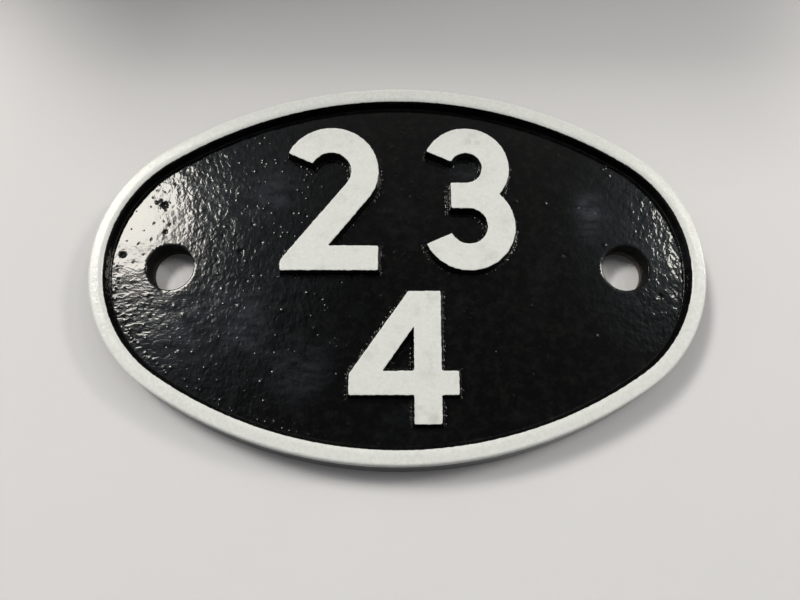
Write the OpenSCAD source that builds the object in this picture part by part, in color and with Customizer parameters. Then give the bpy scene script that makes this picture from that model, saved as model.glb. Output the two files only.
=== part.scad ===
/* [Plate] */
// Length of the plate, across its back edge
plate_l = 191.5; // [160:0.5:240]
// Width of the plate, across its back edge
plate_w = 122.8; // [118:0.1:150]
// Radius of the two end arcs of the four-arc oval, at the back edge
end_r = 46.5; // [40:0.5:52]
// Thickness of the field that the rim and the numerals stand on
field_t = 8.7; // [5:0.1:14]
// How far the outer wall leans in for each millimetre of height
edge_lean = 0.135; // [0.03:0.005:0.2]

/* [Rim] */
// Height of the rim and of the numerals above the field
relief_h = 4; // [2:0.1:6]
// Width of the rim at its face, with the rounded shoulder
rim_w = 4.4; // [3:0.1:7]
// Radius of the rounded outer shoulder of the rim
shoulder_r = 0.9; // [0.5:0.1:1.8]
// How far the inner wall of the rim leans in for each millimetre of depth
rim_lean = 0.2; // [0.05:0.01:0.3]

/* [Fixing holes] */
// Diameter of the two fixing holes
hole_d = 14.3; // [8:0.1:20]
// Distance from the end of the plate to the centre of a fixing hole
hole_inset = 25.25; // [20:0.25:30]

/* [Numerals] */
// How far the sides of a numeral lean out for each millimetre of depth
numeral_lean = 0.15; // [0.05:0.01:0.2]
// Angle of the cut ends of the curved strokes, above or below level
terminal_angle = 24; // [10:1:40]

/* [Upper row] */
// Height of the two upper numerals
upper_h = 47.6; // [44:0.1:52]
// Width of each upper numeral
upper_w = 30; // [27:0.1:34]
// Width of the curved and sloping strokes of the upper numerals
upper_stroke = 8.7; // [6:0.1:9.5]
// Height of the level bars of the upper numerals
upper_bar = 8; // [6:0.1:9]
// Clear width between the two upper numerals
upper_gap = 12.5; // [6:0.1:18]
// Distance from the face of the rim down to the top of the upper numerals
top_gap = 9.7; // [7:0.1:12]
// How much shorter than the lower bowl the upper bowl of the three reaches
three_setback = 1.3; // [0:0.1:2.5]
// Length of the middle arm of the three, left of the middle of its lower bowl
three_arm = 5.5; // [3:0.1:7]
// Distance of the foot of the sloping stroke of the two from its left side
two_foot = 6.1; // [5:0.1:8]

/* [Lower row] */
// Height of the lower numeral
lower_h = 39.8; // [34:0.1:42]
// Width of the lower numeral
lower_w = 32.5; // [30:0.1:40]
// Width of the stem of the lower numeral
lower_stem = 8.2; // [6:0.1:10]
// Width of the sloping stroke of the lower numeral
lower_slope = 7.7; // [6:0.1:9]
// Height of the level bar of the lower numeral
lower_bar = 7.2; // [5:0.1:9]
// Height of the level bar above the foot of the lower numeral
lower_bar_y = 8.4; // [6:0.1:10]
// Length of the level bar past the stem of the lower numeral
lower_tail = 5.1; // [3:0.1:8]
// Width of the flat top of the lower numeral
lower_top = 9.8; // [8.5:0.1:12]
// Distance from the top of the level bar down to the start of the sloping stroke's outer edge
lower_heel = 1; // [0.5:0.1:2.5]
// Distance of the lower numeral from the middle, to the right
lower_shift = 1.5; // [-4:0.1:4]
// Distance from the foot of the lower numeral down to the face of the rim
bottom_gap = 7.1; // [6:0.1:12]

/* [Hidden] */
$fn = 96;

total_t = field_t + relief_h;
half_l = plate_l / 2;
half_w = plate_w / 2;
// the end arcs have their centres on the long axis, the flank arcs on the short one
end_x = half_l - end_r;
ideal_flank_r = (end_x * end_x + half_w * half_w - end_r * end_r) / (2 * (half_w - end_r));
// an end arc meets a flank arc on the line through both centres, this far apart
centre_gap = round((ideal_flank_r - end_r) * 1000) / 1000;
flank_r = end_r + centre_gap;
join_angle = acos(end_x / centre_gap);
// each arc sweeps a little past the axis before the quarter is cut square there
spare_angle = 4;
// the field of the flank quarters starts a little past the long axis
flank_overlap = 5;

// offsets of the outlines from the back edge: negative is inwards
function wall_x(z) = -edge_lean * z;
rim_face_x = wall_x(total_t) - rim_w;
rim_foot_x = rim_face_x - rim_lean * relief_h;

hole_x = half_l - hole_inset;
through = 1;

numeral_draft = numeral_lean * relief_h;
upper_top_y = half_w + rim_face_x - top_gap;
upper_foot_y = upper_top_y - upper_h;
lower_foot_y = -(half_w + rim_face_x) + bottom_gap;
cut_reach = 80;
// how far a curved stroke runs past its tip before the tip is cut
tip_overrun = 25;
tip_depth = 12;

iron_black = [0.03, 0.03, 0.035];
enamel_white = [0.9, 0.9, 0.87];

// a quarter of the oval, swept both ways from the line where its two arcs meet;
// the first child is the section of the end arc, the second that of the flank arc
module oval_quarter()
    intersection() {
        translate([end_x, 0])
            rotate(join_angle) {
                mirror([0, 1])
                    rotate_extrude(angle = join_angle + spare_angle)
                        intersection() {
                            translate([end_r, 0])
                                children(0);
                            // what lies past the turning axis is cut off
                            translate([0, -through])
                                square([end_r + through, total_t + 2 * through]);
                        }
                translate([-centre_gap, 0])
                    rotate_extrude(angle = 90 - join_angle + spare_angle)
                        translate([flank_r, 0])
                            children(1);
            }
        translate([0, 0, -through])
            cube([half_l + through, half_w + through, total_t + 2 * through]);
    }

module oval() {
    for (turn_x = [0, 1], turn_y = [0, 1])
        mirror([turn_x, 0])
            mirror([0, turn_y])
                oval_quarter() {
                    children(0);
                    children(1);
                }
}

module plate_section(depth)
    polygon([[-depth, 0], [0, 0], [wall_x(field_t), field_t], [-depth, field_t]]);

module back_plate()
    color(iron_black)
        difference() {
            oval() {
                plate_section(end_r + through);
                plate_section(half_w + flank_overlap);
            }
            for (side = [-1, 1])
                translate([side * hole_x, 0, -through])
                    cylinder(d = hole_d, h = field_t + 2 * through);
        }

// the rim's section: leaning outer wall, rounded shoulder, flat face and leaning inner wall
module rim_section() {
    shoulder_z = total_t - shoulder_r;
    shoulder_x = wall_x(shoulder_z) - shoulder_r;
    polygon([
        [rim_foot_x, field_t],
        [wall_x(field_t), field_t],
        [wall_x(shoulder_z), shoulder_z],
        [shoulder_x, shoulder_z],
        [shoulder_x, total_t],
        [rim_face_x, total_t]
    ]);
    intersection() {
        translate([shoulder_x, shoulder_z])
            circle(r = shoulder_r);
        translate([shoulder_x, shoulder_z])
            square(shoulder_r + through);
    }
}

module border_rim()
    color(enamel_white)
        oval() {
            rim_section();
            rim_section();
        }

// the section of a raised stroke, centred, with drafted sides
module stroke_section(width)
    polygon([
        [-width / 2 - numeral_draft, 0],
        [width / 2 + numeral_draft, 0],
        [width / 2, relief_h],
        [-width / 2, relief_h]
    ]);

// a straight stroke with square ends, from one point towards an angle
module stroke(start, angle, length, width)
    translate(start)
        rotate(angle)
            rotate([90, 0, 90])
                linear_extrude(height = length)
                    stroke_section(width);

// a curved stroke, given by the radius of its middle line
module curve(centre, radius, from, to, width)
    translate(centre)
        rotate(from)
            rotate_extrude(angle = to - from)
                translate([radius, 0])
                    stroke_section(width);

// a level or upright bar, drafted on all four sides, from its lower left corner
module bar(corner, size)
    translate(corner + size / 2)
        intersection() {
            rotate([90, 0, 90])
                linear_extrude(height = size.x + 4 * numeral_draft, center = true)
                    stroke_section(size.y);
            rotate([90, 0, 0])
                linear_extrude(height = size.y + 4 * numeral_draft, center = true)
                    stroke_section(size.x);
        }

// a block past a drafted plane through a point of the face, seen towards an angle
module past(point, angle, length = cut_reach, depth = cut_reach)
    translate(point)
        rotate(angle)
            rotate([90, 0, 0])
                linear_extrude(height = length, center = true)
                    polygon([
                        [numeral_draft + numeral_lean * through, -through],
                        [depth, -through],
                        [depth, relief_h + through],
                        [-numeral_lean * through, relief_h + through]
                    ]);

// a curved stroke that ends in a drafted cut at one angle and runs square to the other
module curve_to_tip(centre, radius, square_end, tip, width) {
    turn = sign(tip - square_end);
    overrun = tip + turn * tip_overrun;
    difference() {
        curve(centre, radius, min(square_end, overrun), max(square_end, overrun), width);
        past(
            on_circle(centre, radius, tip),
            tip + turn * 90,
            width + 2 * numeral_draft + 2 * through,
            tip_depth
        );
    }
}

// the direction of a line from a point that touches a circle on its right
function touching_angle(point, centre, radius) =
    atan2(centre.y - point.y, centre.x - point.x) - asin(radius / norm(centre - point));

function on_circle(centre, radius, angle) = centre + radius * [cos(angle), sin(angle)];

module two() {
    radius = (upper_w - upper_stroke) / 2;
    centre = [upper_w / 2, upper_h - upper_w / 2];
    foot = [two_foot, upper_bar / 2];
    slope = touching_angle(foot, centre, radius);
    turn = slope - 90;
    leg = norm(on_circle(centre, radius, turn) - foot) + upper_bar;
    // the curve and the sloping leg start from one line, in one turned frame
    translate(centre)
        rotate(turn)
            curve_to_tip([0, 0], radius, 0, 180 - terminal_angle - turn, upper_stroke);
    difference() {
        translate(centre)
            rotate(turn)
                stroke([radius, 0], -90, leg, upper_stroke);
        past([0, 0], 180);
        past([0, 0], -90);
    }
    bar([0, 0], [upper_w, upper_bar]);
}

module three() {
    low_r = (upper_w - upper_stroke) / 2;
    low = [upper_w / 2, upper_w / 2];
    // the upper bowl is as large as lets both bowls share one middle stroke
    bowl = (upper_h - upper_w + upper_stroke) / 2;
    high_r = bowl - upper_stroke / 2;
    high = [upper_w - three_setback - bowl, upper_h - bowl];
    curve_to_tip(low, low_r, 90, terminal_angle - 180, upper_stroke);
    curve_to_tip(high, high_r, -90, 180 - terminal_angle, upper_stroke);
    bar(
        [low.x - three_arm, upper_w - upper_stroke],
        [three_arm + upper_stroke / 2, upper_stroke]
    );
}

module four() {
    stem_x = lower_w - lower_tail - lower_stem;
    bar_top = lower_bar_y + lower_bar;
    top_left = [stem_x + lower_stem - lower_top, lower_h];
    low_left = [0, bar_top - lower_heel];
    slope = atan2(top_left.y - low_left.y, top_left.x - low_left.x);
    edge_to_middle = lower_slope / 2 * [sin(slope), -cos(slope)];
    start = low_left + edge_to_middle - lower_bar * [cos(slope), sin(slope)];
    length = norm(top_left - low_left) + 3 * lower_bar;
    bar([stem_x, 0], [lower_stem, lower_h]);
    bar([0, lower_bar_y], [lower_w, lower_bar]);
    difference() {
        stroke(start, slope, length, lower_slope);
        past([0, lower_h], 90);
        past([stem_x + lower_stem, 0], 0);
        past([0, lower_bar_y], -90);
        past([0, 0], 180);
    }
}

module upper_left_numeral()
    color(enamel_white)
        translate([-upper_gap / 2 - upper_w, upper_foot_y, field_t])
            two();

module upper_right_numeral()
    color(enamel_white)
        translate([upper_gap / 2, upper_foot_y, field_t])
            three();

module lower_numeral()
    color(enamel_white)
        translate([lower_shift - lower_w / 2, lower_foot_y, field_t])
            four();

back_plate();
border_rim();
upper_left_numeral();
upper_right_numeral();
lower_numeral();
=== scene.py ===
import math

import bmesh
import bpy
import numpy as np
from bpy.props import FloatProperty, FloatVectorProperty, IntProperty, PointerProperty
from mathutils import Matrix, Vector, geometry, noise


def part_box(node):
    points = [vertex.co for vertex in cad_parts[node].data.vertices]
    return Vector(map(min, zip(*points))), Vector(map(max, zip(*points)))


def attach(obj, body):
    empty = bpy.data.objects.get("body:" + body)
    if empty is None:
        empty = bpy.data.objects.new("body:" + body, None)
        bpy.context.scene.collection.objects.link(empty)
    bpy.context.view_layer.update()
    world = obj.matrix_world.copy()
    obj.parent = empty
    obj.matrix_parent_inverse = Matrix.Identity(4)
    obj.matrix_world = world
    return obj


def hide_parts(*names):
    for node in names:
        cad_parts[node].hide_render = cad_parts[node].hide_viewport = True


bl_info = {
    "name": "Locomotive Shed Plate",
    "version": (1, 0, 0),
    "blender": (4, 5, 0),
    "location": "View3D > Sidebar > Shed Plate",
    "description": "Builds a painted cast-iron shed plate round its measured frame",
    "category": "Object",
}

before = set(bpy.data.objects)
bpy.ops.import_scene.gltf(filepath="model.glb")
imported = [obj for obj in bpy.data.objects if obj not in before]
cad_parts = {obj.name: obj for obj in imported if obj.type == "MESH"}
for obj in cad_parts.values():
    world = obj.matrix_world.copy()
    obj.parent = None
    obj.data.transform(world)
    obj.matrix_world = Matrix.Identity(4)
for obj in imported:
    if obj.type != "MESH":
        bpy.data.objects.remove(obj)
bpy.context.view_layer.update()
PLATE_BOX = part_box("back_plate")
RIM_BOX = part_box("border_rim")

MM = 0.001
BLACK_SLOT = "black_gloss_paint"
WHITE_SLOT = "white_gloss_paint"
# the attribute that holds how far a point lies on the white side of the paint line
PAINT_LINE = "paint_line"


def length(name, description, default, low=0.0):
    """A size in metres that shows in Blender's own units."""
    return FloatProperty(
        name=name, description=description, default=default, min=low, unit="LENGTH", precision=5
    )


def ratio(name, description, default):
    """A plain number from 0 to 1."""
    return FloatProperty(name=name, description=description, default=default, min=0.0, max=1.0, precision=4)


def brightness(name, description, default):
    """The radiance of a light's face."""
    return FloatProperty(name=name, description=description, default=default, min=0.0)


def number(name, description, default):
    """How many of something there are."""
    return IntProperty(name=name, description=description, default=default, min=0)


def angle(name, description, degrees):
    """An angle that is given here in degrees."""
    default = math.radians(degrees)
    return FloatProperty(name=name, description=description, default=default, subtype="ANGLE")


def colour(name, description, default):
    """A linear colour."""
    return FloatVectorProperty(
        name=name, description=description, default=default, size=3, min=0.0, max=1.0, subtype="COLOR"
    )


class PlateSizes(bpy.types.PropertyGroup):
    """Sizes of the casting's plate and rim."""

    plate_length: length("Length", "Length across the back edge", PLATE_BOX[1].x - PLATE_BOX[0].x)
    plate_width: length("Width", "Width across the back edge", PLATE_BOX[1].y - PLATE_BOX[0].y)
    end_radius: length("End radius", "Radius of the two end arcs of the oval", 46.5 * MM)
    field_height: length("Field height", "Height of the sunk field above the back", PLATE_BOX[1].z)
    total_height: length("Total height", "Height of the rim's face above the back", RIM_BOX[1].z)
    edge_lean: ratio("Edge lean", "How far the outer wall leans in for each unit of height", 0.135)
    rim_width: length("Rim width", "Width of the rim at its face, with the rounded shoulder", 4.4 * MM)
    rim_lean: ratio("Rim lean", "How far the rim's inner wall leans for each unit of depth", 0.2)
    shoulder_radius: length("Shoulder radius", "Radius of the rim's outer shoulder", 0.9 * MM)
    crown_width: length("Crown width", "Width of the rim's face that rolls over to the field", 2 * MM)
    crown_depth: length("Crown depth", "How far down the rim's face rolls over", 0.7 * MM)
    cove_radius: length("Cove radius", "Radius of the cove where the rim meets the field", 0.35 * MM)
    hole_radius: length("Hole radius", "Radius of the two fixing holes", 7.15 * MM)
    hole_inset: length("Hole inset", "Distance from the end of the plate to a hole's centre", 25.25 * MM)
    lip_radius: length("Lip radius", "Radius of the worn lip of each hole", 0.35 * MM)
    cast_roughness: length("Cast roughness", "Height of the rough casting under the paint", 0.07 * MM)
    field_waves: length("Field waves", "Height of the long waves of the painted field", 0.05 * MM)
    pimples: number("Pimples", "Number of small pimples on the field", 210)
    pits: number("Pits", "Number of small pits in the field", 70)


class NumeralSizes(bpy.types.PropertyGroup):
    """Sizes of the raised numerals; their heights and widths come from the frame."""

    draft: ratio("Draft", "How far the sides lean out for each unit of depth", 0.15)
    edge_radius: length("Edge radius", "Radius of the edge of a numeral's face", 0.3 * MM)
    cove_radius: length("Cove radius", "Radius of the cove where a numeral meets the field", 0.45 * MM)
    tip_angle: angle("Tip angle", "Angle of the cut ends of curved strokes from level", 24)
    stroke: length("Stroke", "Width of the curved and sloping strokes", 8.7 * MM)
    bar: length("Bar", "Height of the level bar of the two", 8 * MM)
    two_foot: length("Foot of the two", "Distance of the sloping stroke's foot from the left", 6.1 * MM)
    three_setback: length("Setback of the three", "How much less far the upper bowl reaches", 1.3 * MM)
    three_arm: length("Arm of the three", "Length of the middle arm, left of the lower bowl", 5.5 * MM)
    stem: length("Stem", "Width of the four's stem", 8.2 * MM)
    slope: length("Slope", "Width of the four's sloping stroke", 7.7 * MM)
    four_bar: length("Bar of the four", "Height of the four's level bar", 7.2 * MM)
    four_bar_rise: length("Rise of the bar", "Height of the four's level bar above its foot", 8.4 * MM)
    four_tail: length("Tail of the four", "Length of the level bar past the stem", 5.1 * MM)
    four_top: length("Top of the four", "Width of the four's flat top", 9.8 * MM)
    four_heel: length("Heel of the four", "Height of the level bar above the start of the slope", 1 * MM)


class PaintFinish(bpy.types.PropertyGroup):
    """Colours and gloss of the paint and the floor."""

    black: colour("Black paint", "Thick gloss paint of the field", (0.0014, 0.0014, 0.0014))
    # a bluish film of dust on the black, whose tint also stands as painted haze of reflected light
    black_film_and_haze: colour("Film on black", "Thin film of dust on the black paint", (0.034, 0.039, 0.047))
    grime: colour("Grime on black", "Fine grime in the black paint", (0.046, 0.044, 0.041))
    bore: colour("Bare bore", "Thinly painted wall of the fixing holes", (0.004, 0.0036, 0.0034))
    # brown dust near the back of the holes, and painted light on the lit wall of the right hole
    bore_dust_and_light: colour("Dust in the bore", "Dust in the fixing holes, near the back", (0.2, 0.175, 0.15))
    white: colour("White paint", "Paint of the rim and the numerals", (0.76, 0.783, 0.785))
    worn_white: colour("Worn white", "White paint where it is thin or handled", (0.5, 0.51, 0.505))
    stain: colour("Stain", "Yellowish stain at the paint line", (0.36, 0.29, 0.17))
    floor: colour("Floor", "Pale floor under the plate", (0.70, 0.698, 0.726))
    black_gloss: ratio("Black roughness", "Roughness of the black gloss paint", 0.055)
    white_gloss: ratio("White roughness", "Roughness of the white paint", 0.22)


class StageSizes(bpy.types.PropertyGroup):
    """Camera, floor and lights."""

    lens: FloatProperty(
        name="Lens", description="Focal length for a sensor 36 mm wide", default=30.6, min=1.0, unit="CAMERA"
    )
    camera_at: FloatVectorProperty(
        name="Camera", description="Place of the camera", unit="LENGTH",
        default=(-1.86 * MM, -61.63 * MM, 210.41 * MM),
    )
    camera_pitch: angle("Camera pitch", "Turn of the camera from straight down, up the plate", 14.278)
    camera_roll: angle("Camera roll", "Turn of the camera from straight down, to the side", -0.624)
    camera_turn: angle("Camera turn", "Turn of the camera about the upright", -0.1)
    panel_height: length("Panel height", "Height of the light panels above the floor", 1.7)
    floor_radius: length("Floor radius", "Radius of the level floor", 1.9)
    sweep_radius: length("Sweep radius", "Radius of the curve that rises round the floor", 0.9)
    panel: brightness("Panel", "Brightness of the large panel's face", 17.0)
    panel_core: brightness("Core", "Brightness of the large panel's middle", 39.5)
    soft_panel: brightness("Soft panel", "Brightness of the soft panel overhead", 4.4)
    side_panel: brightness("Side panel", "Brightness of the side panel", 26.0)
    spot_panel: brightness("Small panel", "Brightness of the small panel", 18.0)
    shade_height: length("Shade height", "Height of the card that shades the far side", 183 * MM)
    shade_width: length("Shade width", "Width of the card's near edge", 214 * MM)
    shade_spread: length("Shade spread", "How much farther the card's far edge reaches, each way", 600 * MM)
    shade_depth: length("Shade depth", "Depth of the card", 900 * MM)
    shade_near: length("Shade's near edge", "Distance of the card's near edge from the middle", 151 * MM)
    shade_left: length("Shade's left edge", "Place of the card's left edge", -190 * MM, -1.0)
    halo: brightness("Halo", "Brightness of the soft edge of the large panel", 3.4)
    room: colour("Room", "Light from the walls of the room", (0.305, 0.303, 0.297))
    front: colour("Front", "Light from the front of the room", (0.05, 0.05, 0.05))
    overhead: colour("Overhead", "Light from straight above", (0.06, 0.062, 0.066))
    glow: colour("Glow", "Cool light of the room round the panels", (0.74, 0.9, 1.0))
    windows: colour("Windows", "Light from low on the two sides", (1.0, 0.99, 0.97))


class Socket:
    """A node's output that takes part in Python expressions."""

    def __init__(self, shader, output):
        self.shader = shader
        self.output = output

    def __add__(self, other):
        return self.shader.maths("ADD", self, other)

    def __sub__(self, other):
        return self.shader.maths("SUBTRACT", self, other)

    def __rsub__(self, other):
        return self.shader.maths("SUBTRACT", other, self)

    def __mul__(self, other):
        return self.shader.maths("MULTIPLY", self, other)

    def __truediv__(self, other):
        return self.shader.maths("DIVIDE", self, other)

    __radd__ = __add__
    __rmul__ = __mul__


class Shader:
    """A material or a world whose nodes are made by plain calls."""

    MIX_COLOURS = {"factor": 0, "a": 6, "b": 7, "result": 2}

    def __init__(self, holder):
        self.holder = holder
        holder.use_nodes = True
        self.tree = holder.node_tree

    def surface(self, values):
        """Fills the surface's own sockets and gives the material."""
        self.fill(self.tree.nodes["Principled BSDF"], values)
        return self.holder

    def fill(self, node, values):
        """Sets or links the inputs of a node."""
        for key, value in values.items():
            if isinstance(value, Socket):
                self.tree.links.new(value.output, node.inputs[key])
            else:
                node.inputs[key].default_value = value

    def node(self, kind, settings=None, values=None, output=0):
        """Adds a node, with its settings first, and gives one of its outputs."""
        made = self.tree.nodes.new(kind)
        for key, value in (settings or {}).items():
            setattr(made, key, value)
        self.fill(made, values or {})
        return Socket(self, made.outputs[output])

    def maths(self, operation, *values):
        return self.node("ShaderNodeMath", {"operation": operation}, dict(enumerate(values)))

    def ramp(self, value, start, end, settings=None):
        """0 up to the start and 1 from the end on, straight in between; the end may be the lower one."""
        values = {"Value": value, "From Min": start, "From Max": end}
        return self.node("ShaderNodeMapRange", settings, values)

    def between(self, value, start, end):
        """As a ramp, but smooth in between."""
        return self.ramp(value, start, end, {"interpolation_type": "SMOOTHSTEP"})

    def part(self, vector, axis):
        """One of the three parts of a vector."""
        return self.node("ShaderNodeSeparateXYZ", values={"Vector": vector}, output=axis)

    def towards(self, direction, aim):
        """How nearly a direction points the same way as another, at most 1."""
        return self.node("ShaderNodeVectorMath", {"operation": "DOT_PRODUCT"}, {0: direction, 1: aim}, 1)

    def place(self, stretch=(1.0, 1.0, 1.0), turn=0.0):
        """The place on the object in metres, turned about +Z and then stretched."""
        here = self.node("ShaderNodeTexCoord", output="Object")
        values = {"Vector": here, "Rotation": (0.0, 0.0, turn), "Scale": stretch}
        return self.node("ShaderNodeMapping", {"vector_type": "POINT"}, values)

    def flat(self):
        """The place on the object in metres, without its height."""
        here = self.node("ShaderNodeTexCoord", output="Object")
        return self.node("ShaderNodeVectorMath", {"operation": "MULTIPLY"}, {0: here, 1: (1.0, 1.0, 0.0)})

    def noise(self, place, size, detail=2.0, roughness=0.5, warp=0.0):
        """Soft noise from 0 to 1, whose patches are about so many metres across."""
        return self.node("ShaderNodeTexNoise", values={
            "Vector": place,
            "Scale": 1.0 / size,
            "Detail": detail,
            "Roughness": roughness,
            "Distortion": warp,
        })

    def mix(self, a, b, factor):
        """Goes from colour a to colour b with the factor."""
        key = self.MIX_COLOURS
        values = {key["factor"]: factor, key["a"]: a, key["b"]: b}
        return self.node("ShaderNodeMix", {"data_type": "RGBA"}, values, key["result"])

    def bump(self, height):
        """The surface normal over heights in metres."""
        values = {"Height": height, "Strength": 1.0, "Distance": 1.0}
        return self.node("ShaderNodeBump", values=values, output="Normal")


def rgba(value):
    return (*value, 1.0)


def blob(shader, spot, soft):
    """1 at a spot and 0 beyond its radius, all in millimetres; the soft share of it is its edge."""
    x, y, radius = spot
    values = {0: shader.flat(), 1: (x * MM, y * MM, 0.0)}
    away = shader.node("ShaderNodeVectorMath", {"operation": "DISTANCE"}, values, 1)
    return shader.between(away, radius * MM, radius * (1 - soft) * MM)


# where the field's paint has run out smooth, where the white is smeared, and where a film of dust lies on
# the black, which also stands as painted bluish haze of reflected light: x, y and radius in millimetres
CALM = ((-80, 14, 17),)
SMEARS = ((22, 41, 2.2), (25, 40.5, 1.6), (4, -46, 2.6), (10, -46.5, 2.2))
FILMS_AND_HAZE = (
    (61, 20, 9), (61, 20, 6), (60, 12, 6), (-57, -10, 9), (-30, -32, 14), (22, 36, 12), (-62, 22, 16),
    (84, 4, 11), (-47, -21, 12), (-40, 25, 13), (-47, -11, 10), (-68, -19, 17),
)
# sizes of the patches in the black paint and of its relief, and the heights of that relief
FILM_SIZE, STREAK_SIZE, MOTTLE_SIZE, DUST_SIZE = 14 * MM, 4 * MM, 2.6 * MM, 0.8 * MM
PEEL_SIZE, WRINKLE_SIZE, SWELL_SIZE = 1.3 * MM, 1.5 * MM, 3.6 * MM
PEEL_HEIGHT, SWELL_HEIGHT = 0.064 * MM, 0.062 * MM
# from which x to which the peel grows, towards the left end and the right one
LEFT_PEEL, RIGHT_PEEL = (4 * MM, -44 * MM), (58 * MM, 84 * MM)
# from which x and y to which it grows again, and turns to wrinkles, at the lower left
LOWER_PEEL = ((-14 * MM, -34 * MM), (2 * MM, -14 * MM))
WRINKLED = ((-50 * MM, -80 * MM), (12 * MM, -12 * MM))


def lower_left(shader, x, y, spans):
    """1 past the ends of the two spans, towards the lower left, and 0 before their starts."""
    along_x, along_y = spans
    return shader.between(y, *along_y) * shader.between(x, *along_x)


def black_layer(shader, finish):
    """Colour, roughness and heights of the thick black gloss paint."""
    here = shader.place()
    # the film is dust, and also painted bluish haze of reflected light, strongest at the listed patches
    film_and_haze = shader.between(shader.noise(here, FILM_SIZE, 4, 0.6), 0.5, 0.8) * 0.18
    for spot in FILMS_AND_HAZE:
        film_and_haze = film_and_haze + blob(shader, spot, 0.95) * 0.5
    streaks = shader.noise(shader.place((0.6, 1.5, 1.0), 0.6), STREAK_SIZE, 4, 0.65)
    dust = shader.between(shader.noise(here, DUST_SIZE, 3, 0.7), 0.6, 0.8)
    mottle = shader.between(shader.noise(here, MOTTLE_SIZE, 5, 0.72), 0.42, 0.7) * 0.09
    grimy = shader.mix(rgba(finish.black), rgba(finish.grime), mottle + dust * 0.08)
    tint = shader.mix(grimy, rgba(finish.black_film_and_haze), film_and_haze * shader.between(streaks, 0.3, 0.7))
    roughness = finish.black_gloss + streaks * 0.04 + dust * 0.1
    # the peel is strong at the two ends, and calm in the middle and where the paint ran out
    x, y = shader.part(here, "X"), shader.part(here, "Y")
    strength = 0.27 + shader.between(x, *LEFT_PEEL) * 0.73 + shader.between(x, *RIGHT_PEEL) * 0.7
    for spot in CALM:
        strength = strength * (1 - blob(shader, spot, 0.4) * 0.7)
    strength = strength * (1 + lower_left(shader, x, y, LOWER_PEEL) * 0.3)
    peel = shader.noise(shader.place((1.0, 0.75, 1.0), 0.35), PEEL_SIZE, 1.0, 0.45, 0.4)
    wrinkles = shader.noise(shader.place((0.55, 1.1, 1.0), 0.12), WRINKLE_SIZE, 1.0, 0.5, 0.9)
    peel = peel + (wrinkles - peel) * lower_left(shader, x, y, WRINKLED)
    swell = shader.noise(here, SWELL_SIZE, 0, 0.5)
    heights = (peel * PEEL_HEIGHT + swell * SWELL_HEIGHT) * strength
    return tint, roughness, heights


# sizes of the patches in the white paint and of its relief, and the heights of that relief
WORN_SIZE, SMEAR_SIZE, SHEEN_SIZE, SPECK_SIZE = 6 * MM, 1.2 * MM, 1.4 * MM, 0.8 * MM
GRAIN_SIZE, STIPPLE_SIZE, FINE_SIZE, BRUSH_SIZE = 1.0 * MM, 1.2 * MM, 0.45 * MM, 2.5 * MM
STIPPLE_HEIGHT, BRUSH_HEIGHT = 0.045 * MM, 0.015 * MM


def white_layer(shader, finish, wear, dullness):
    """Colour, roughness and heights of the white paint: the duller, the fainter are grain and stipple."""
    here = shader.place()
    worn = shader.between(shader.noise(here, WORN_SIZE, 5, 0.65), 0.48, 0.85)
    specks = shader.between(shader.noise(here, SPECK_SIZE, 3, 0.65), 0.6, 0.8)
    grain = (shader.noise(here, GRAIN_SIZE, 4, 0.65) - 0.5) * (0.5 / dullness) + 0.35
    worn = worn * wear + specks * 0.45 + grain
    for spot in SMEARS:
        worn = worn + blob(shader, spot, 0.8) * shader.noise(here, SMEAR_SIZE, 3, 0.7) * 0.6
    tint = shader.mix(rgba(finish.white), rgba(finish.worn_white), worn)
    roughness = (finish.white_gloss + shader.noise(here, SHEEN_SIZE, 3, 0.7) * 0.2 - 0.05) * dullness
    stipple = shader.noise(here, STIPPLE_SIZE, 4, 0.6) + shader.noise(here, FINE_SIZE, 1, 0.5) * 0.22
    brushing = shader.noise(shader.place((0.2, 2.0, 1.0), 0.1), BRUSH_SIZE, 2, 0.5)
    heights = stipple / dullness * STIPPLE_HEIGHT + brushing * BRUSH_HEIGHT
    return tint, roughness, heights


def black_material(finish):
    shader = Shader(bpy.data.materials.new("thick_black_gloss"))
    tint, roughness, heights = black_layer(shader, finish)
    return shader.surface({"Base Color": tint, "Roughness": roughness, "Normal": shader.bump(heights)})


def bore_material(finish):
    """The dull wall of the fixing holes: thin black paint, brown dust towards the back, and painted light in
    the right hole.
    """
    shader = Shader(bpy.data.materials.new("dull_bore"))
    here = shader.place()
    patchy = shader.noise(here, 1.6 * MM, 4, 0.65)
    grain = shader.noise(here, 0.5 * MM, 3, 0.6)
    # the dust lies in the lower 4 mm; its larger share in the right hole is painted light on that hole's lit
    # wall, and its smaller share in the left hole painted shade
    dust_and_light = shader.between(shader.part(here, "Z") + (patchy - 0.5) * (4 * MM), 4 * MM, 0.5 * MM)
    share = 0.25 + shader.ramp(shader.part(here, "X"), 0, 60 * MM) * 0.5
    return shader.surface({
        "Base Color": shader.mix(rgba(finish.bore), rgba(finish.bore_dust_and_light), dust_and_light * share),
        "Roughness": 0.62 + patchy * 0.3,
        "Specular IOR Level": 0.15,
        "Normal": shader.bump(grain * (0.05 * MM) + patchy * (0.12 * MM)),
    })


# wear and dullness of the white on the rim and on the numerals
RIM_WHITE, NUMERAL_WHITE = (0.2, 0.54), (0.6, 1.0)
# how far the paint line wanders, and from where to where across it the white starts and the stain ends
LINE_WANDER = 0.5 * MM
WHITE_START, STAIN_END = (-0.04 * MM, 0.06 * MM), (0.6 * MM, 0.05 * MM)
# how much higher the white stands, and the heights of the fine roughness in the black beside it
WHITE_RISE, ROUGH_HEIGHT = 0.03 * MM, 0.05 * MM


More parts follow.
